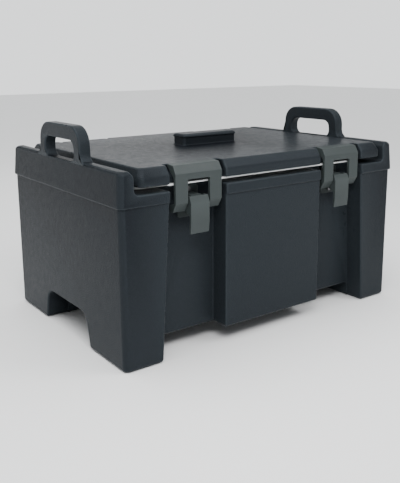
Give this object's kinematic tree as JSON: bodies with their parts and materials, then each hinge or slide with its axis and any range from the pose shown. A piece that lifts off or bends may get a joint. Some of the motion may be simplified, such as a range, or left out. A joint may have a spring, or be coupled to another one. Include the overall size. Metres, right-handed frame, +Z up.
{
  "type": "insulated food carrier",
  "caption": "Top-loading insulated food carrier: foam-filled box on legs with end handles, a lift-off lid with a grip and seal, and draw latches at the front and rear.",
  "frame": {"origin": "on the floor under the middle of the box", "axes": "+X along the long side towards the right end, +Y towards the rear, +Z up; the front is at -Y"},
  "size_m": [0.649, 0.437, 0.388],
  "materials": {
    "shell_plastic": "matte",
    "foam": "matte",
    "plug_plastic": "matte",
    "seal_silicone": "satin",
    "latch_nylon": "satin",
    "steel": "satin",
    "dark_steel": "satin"
  },
  "bodies": {
    "carrier": {"body_shell": "shell_plastic", "body_foam_core": "foam", "body_plug_left": "plug_plastic", "body_plug_right": "plug_plastic", "latch_base_front_left": "latch_nylon", "pivot_pin_front_left": "steel", "latch_screw_lower_front_left": "dark_steel", "latch_screw_upper_front_left": "dark_steel", "latch_base_front_right": "latch_nylon", "pivot_pin_front_right": "steel", "latch_screw_lower_front_right": "dark_steel", "latch_screw_upper_front_right": "dark_steel", "latch_base_rear_left": "latch_nylon", "pivot_pin_rear_left": "steel", "latch_screw_lower_rear_left": "dark_steel", "latch_screw_upper_rear_left": "dark_steel", "latch_base_rear_right": "latch_nylon", "pivot_pin_rear_right": "steel", "latch_screw_lower_rear_right": "dark_steel", "latch_screw_upper_rear_right": "dark_steel"},
    "lid": {"lid_shell": "shell_plastic", "lid_foam_core": "foam", "lid_plug": "plug_plastic", "lid_seal": "seal_silicone"},
    "lever_front_left": {"latch_lever_front_left": "latch_nylon", "link_pin_front_left": "steel"},
    "frame_front_left": {"latch_frame_front_left": "latch_nylon"},
    "lever_front_right": {"latch_lever_front_right": "latch_nylon", "link_pin_front_right": "steel"},
    "frame_front_right": {"latch_frame_front_right": "latch_nylon"},
    "lever_rear_left": {"latch_lever_rear_left": "latch_nylon", "link_pin_rear_left": "steel"},
    "frame_rear_left": {"latch_frame_rear_left": "latch_nylon"},
    "lever_rear_right": {"latch_lever_rear_right": "latch_nylon", "link_pin_rear_right": "steel"},
    "frame_rear_right": {"latch_frame_rear_right": "latch_nylon"}
  },
  "joints": [
    {"name": "lid_lift", "type": "slide", "parent": "carrier", "child": "lid", "axis": [0, 0, 1], "range_m": [0, 0.15]},
    {"name": "lever_front_left_pivot", "type": "hinge", "parent": "carrier", "child": "lever_front_left", "pos_m": [-0.17175, -0.2035, 0.27], "axis": [-1, 0, 0], "range_deg": [0, 95]},
    {"name": "frame_front_left_pivot", "type": "hinge", "parent": "lever_front_left", "child": "frame_front_left", "pos_m": [-0.17175, -0.2005, 0.256], "axis": [1, 0, 0], "range_deg": [0, 250]},
    {"name": "lever_front_right_pivot", "type": "hinge", "parent": "carrier", "child": "lever_front_right", "pos_m": [0.17175, -0.2035, 0.27], "axis": [-1, 0, 0], "range_deg": [0, 95]},
    {"name": "frame_front_right_pivot", "type": "hinge", "parent": "lever_front_right", "child": "frame_front_right", "pos_m": [0.17175, -0.2005, 0.256], "axis": [1, 0, 0], "range_deg": [0, 250]},
    {"name": "lever_rear_left_pivot", "type": "hinge", "parent": "carrier", "child": "lever_rear_left", "pos_m": [-0.17175, 0.2035, 0.27], "axis": [1, 0, 0], "range_deg": [0, 95]},
    {"name": "frame_rear_left_pivot", "type": "hinge", "parent": "lever_rear_left", "child": "frame_rear_left", "pos_m": [-0.17175, 0.2005, 0.256], "axis": [-1, 0, 0], "range_deg": [0, 250]},
    {"name": "lever_rear_right_pivot", "type": "hinge", "parent": "carrier", "child": "lever_rear_right", "pos_m": [0.17175, 0.2035, 0.27], "axis": [1, 0, 0], "range_deg": [0, 95]},
    {"name": "frame_rear_right_pivot", "type": "hinge", "parent": "lever_rear_right", "child": "frame_rear_right", "pos_m": [0.17175, 0.2005, 0.256], "axis": [-1, 0, 0], "range_deg": [0, 250]}
  ],
  "couplings": [
    {"joint": "lever_front_left_pivot", "follows": "lid_lift", "rad_per_m": 11.053},
    {"joint": "frame_front_left_pivot", "follows": "lid_lift", "rad_per_m": 29.086},
    {"joint": "lever_front_right_pivot", "follows": "lid_lift", "rad_per_m": 11.053},
    {"joint": "frame_front_right_pivot", "follows": "lid_lift", "rad_per_m": 29.086},
    {"joint": "lever_rear_left_pivot", "follows": "lid_lift", "rad_per_m": 11.053},
    {"joint": "frame_rear_left_pivot", "follows": "lid_lift", "rad_per_m": 29.086},
    {"joint": "lever_rear_right_pivot", "follows": "lid_lift", "rad_per_m": 11.053},
    {"joint": "frame_rear_right_pivot", "follows": "lid_lift", "rad_per_m": 29.086}
  ]
}
